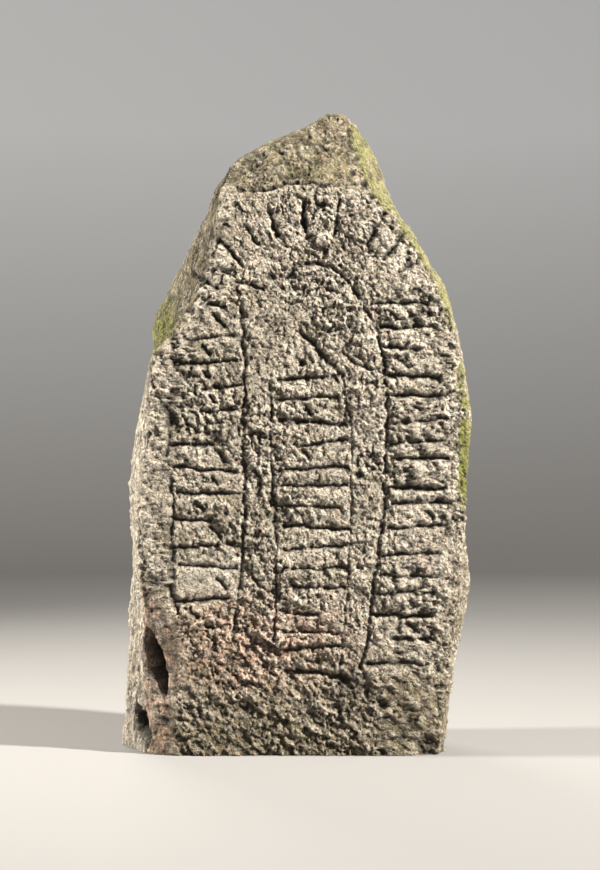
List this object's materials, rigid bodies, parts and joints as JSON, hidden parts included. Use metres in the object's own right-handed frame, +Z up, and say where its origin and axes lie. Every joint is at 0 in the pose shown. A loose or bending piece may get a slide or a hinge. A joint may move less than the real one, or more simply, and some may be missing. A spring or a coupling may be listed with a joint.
{
  "type": "rune stone",
  "caption": "Upright granite boulder with a flat foot, its broad face carved with frame lines and rows of plain strokes, as a free-standing monument.",
  "frame": {"origin": "middle of the bounding box, on the flat foot where the stone meets the ground", "axes": "+Z up, the carved face towards -Y, +X to the right as seen by someone reading the face"},
  "size_m": [0.89, 0.44, 1.63],
  "materials": {
    "granite": "weathered, pitted, with yellow-green lichen on the right edge and summit"
  },
  "bodies": {
    "root": {"stone": "granite"}
  },
  "joints": []
}
